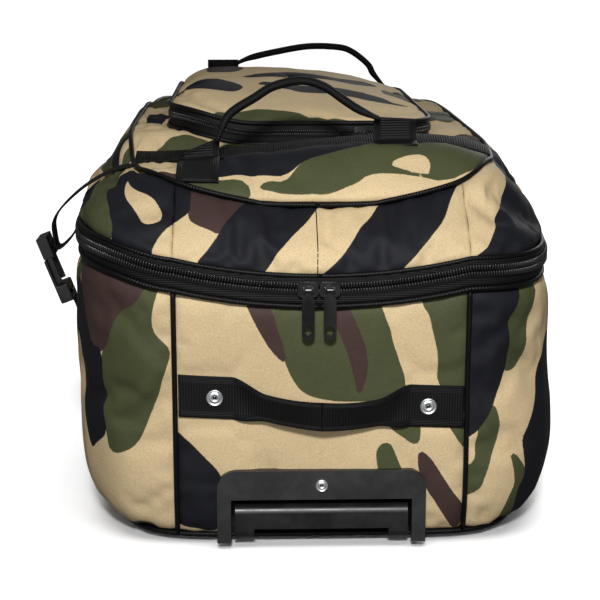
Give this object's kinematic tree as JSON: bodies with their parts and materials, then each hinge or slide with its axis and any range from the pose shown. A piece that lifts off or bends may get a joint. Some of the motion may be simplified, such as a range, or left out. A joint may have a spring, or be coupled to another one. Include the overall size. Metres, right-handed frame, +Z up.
{
  "type": "rolling duffel bag",
  "caption": "Wheeled camouflage duffel bag: padded lower box, zip-off soft upper half with a raised top flap, webbing handles and a two-stage trolley that pulls out of the front end.",
  "frame": {"origin": "middle of the flat underside of the base plate", "axes": "+X to the right seen from the handle end, +Y towards the wheels, +Z up"},
  "size_m": [0.4659, 0.8506, 0.395],
  "materials": {
    "camo_fabric": "matte twill in tan, olive, brown and black patches",
    "black_fabric": "matte black lining cloth",
    "webbing": "matte woven black",
    "zip": "black moulded teeth on woven tape",
    "black_plastic": "satin moulded",
    "steel": "bright nickel plated",
    "tube_aluminium": "satin anodised",
    "tyre_rubber": "matte"
  },
  "bodies": {
    "bag": {"base_plate": "black_plastic", "base_panel": "black_fabric", "floor_board": "black_plastic", "lower_front_panel": "camo_fabric", "lower_side_left": "camo_fabric", "lower_side_right": "camo_fabric", "lower_rear_panel": "camo_fabric", "zip_tape_lower": "zip", "trolley_bezel": "black_plastic", "bezel_rivet": "steel", "trolley_tub": "black_plastic", "tube_outer_left": "tube_aluminium", "tube_outer_right": "tube_aluminium", "tube_rear_bracket": "black_plastic", "tube_cover": "black_fabric", "wheel_housing_left": "black_plastic", "wheel_housing_right": "black_plastic", "axle_left": "steel", "axle_right": "steel", "haul_tab_left": "webbing", "haul_tab_right": "webbing", "haul_rivet_left": "steel", "haul_rivet_right": "steel", "buckle_anchor": "webbing"},
    "upper_half": {"upper_front_gusset": "camo_fabric", "upper_side_left": "camo_fabric", "upper_side_right": "camo_fabric", "upper_top_panel": "camo_fabric", "divider_panel": "black_fabric", "zip_tape_upper": "zip", "flap_rim": "zip", "front_tab_left": "webbing", "front_tab_right": "webbing", "rear_tab_left": "webbing", "rear_tab_right": "webbing", "compression_strap": "webbing"},
    "flap": {"top_flap": "camo_fabric"},
    "main_slider_left": {"slider_left": "zip"},
    "main_slider_right": {"slider_right": "zip"},
    "main_pull_left": {"pull_left": "zip"},
    "main_pull_right": {"pull_right": "zip"},
    "flap_zip_slider": {"flap_slider": "zip"},
    "flap_zip_pull": {"flap_pull": "zip"},
    "front_carry": {"front_handle": "webbing"},
    "rear_carry": {"rear_handle": "webbing"},
    "haul": {"haul_strap": "webbing"},
    "trolley_stage_1": {"tube_mid_left": "tube_aluminium", "tube_mid_right": "tube_aluminium"},
    "trolley_stage_2": {"tube_inner_left": "tube_aluminium", "tube_inner_right": "tube_aluminium", "trolley_grip": "black_plastic"},
    "left_wheel": {"wheel_tyre_left": "tyre_rubber", "wheel_hub_left": "black_plastic", "wheel_bearing_left": "steel"},
    "right_wheel": {"wheel_tyre_right": "tyre_rubber", "wheel_hub_right": "black_plastic", "wheel_bearing_right": "steel"},
    "strap_end": {"strap_tail": "webbing", "buckle_male": "black_plastic"},
    "buckle_socket": {"buckle_female": "black_plastic"}
  },
  "joints": [
    {"name": "upper_half_opens", "type": "hinge", "parent": "bag", "child": "upper_half", "pos_m": [0, 0.402, 0.2442], "axis": [-1, 0, 0], "range_deg": [0, 90]},
    {"name": "flap_opens", "type": "hinge", "parent": "upper_half", "child": "flap", "pos_m": [0, 0.2066, 0.337], "axis": [-1, 0, 0], "range_deg": [0, 75]},
    {"name": "left_zip_slides", "type": "hinge", "parent": "bag", "child": "main_slider_left", "pos_m": [0, -0.4131, 0.795], "axis": [0, 1, 0], "range_deg": [0, 8.2]},
    {"name": "right_zip_slides", "type": "hinge", "parent": "bag", "child": "main_slider_right", "pos_m": [0, -0.4131, 0.795], "axis": [0, -1, 0], "range_deg": [0, 8.2]},
    {"name": "left_pull_lifts", "type": "hinge", "parent": "main_slider_left", "child": "main_pull_left", "pos_m": [-0.0121, -0.4203, 0.23], "axis": [-1, 0, 0], "range_deg": [0, 150]},
    {"name": "right_pull_lifts", "type": "hinge", "parent": "main_slider_right", "child": "main_pull_right", "pos_m": [0.0061, -0.4203, 0.23], "axis": [-1, 0, 0], "range_deg": [0, 150]},
    {"name": "flap_zip_slides", "type": "slide", "parent": "upper_half", "child": "flap_zip_slider", "axis": [1, 0, 0], "range_m": [-0.12, 0.014]},
    {"name": "flap_pull_lifts", "type": "hinge", "parent": "flap_zip_slider", "child": "flap_zip_pull", "pos_m": [0.045, -0.2129, 0.337], "axis": [-1, 0, 0], "range_deg": [0, 78]},
    {"name": "front_carry_swings", "type": "hinge", "parent": "upper_half", "child": "front_carry", "pos_m": [0, -0.281, 0.352], "axis": [0.9908, 0, 0.1354], "range_deg": [-78, 78]},
    {"name": "rear_carry_swings", "type": "hinge", "parent": "upper_half", "child": "rear_carry", "pos_m": [0, 0.285, 0.359], "axis": [0.9846, 0, -0.1747], "range_deg": [-80, 30]},
    {"name": "haul_strap_lifts", "type": "hinge", "parent": "bag", "child": "haul", "pos_m": [0, -0.4065, 0.149], "axis": [-1, 0, 0], "range_deg": [0, 70]},
    {"name": "trolley_stage_1_extends", "type": "slide", "parent": "bag", "child": "trolley_stage_1", "axis": [0, -1, 0], "range_m": [0, 0.25]},
    {"name": "trolley_stage_2_extends", "type": "slide", "parent": "trolley_stage_1", "child": "trolley_stage_2", "axis": [0, -1, 0], "range_m": [0, 0.25]},
    {"name": "left_wheel_spins", "type": "hinge", "parent": "bag", "child": "left_wheel", "pos_m": [-0.17, 0.385, 0.039], "axis": [1, 0, 0], "continuous": true},
    {"name": "right_wheel_spins", "type": "hinge", "parent": "bag", "child": "right_wheel", "pos_m": [0.17, 0.385, 0.039], "axis": [1, 0, 0], "continuous": true},
    {"name": "buckle_unclips", "type": "slide", "parent": "upper_half", "child": "strap_end", "axis": [-0.3584, 0, 0.9336], "range_m": [0, 0.03]},
    {"name": "buckle_socket_swings", "type": "hinge", "parent": "bag", "child": "buckle_socket", "pos_m": [-0.2264, -0.255, 0.1886], "axis": [0, -1, 0], "range_deg": [0, 75]}
  ]
}
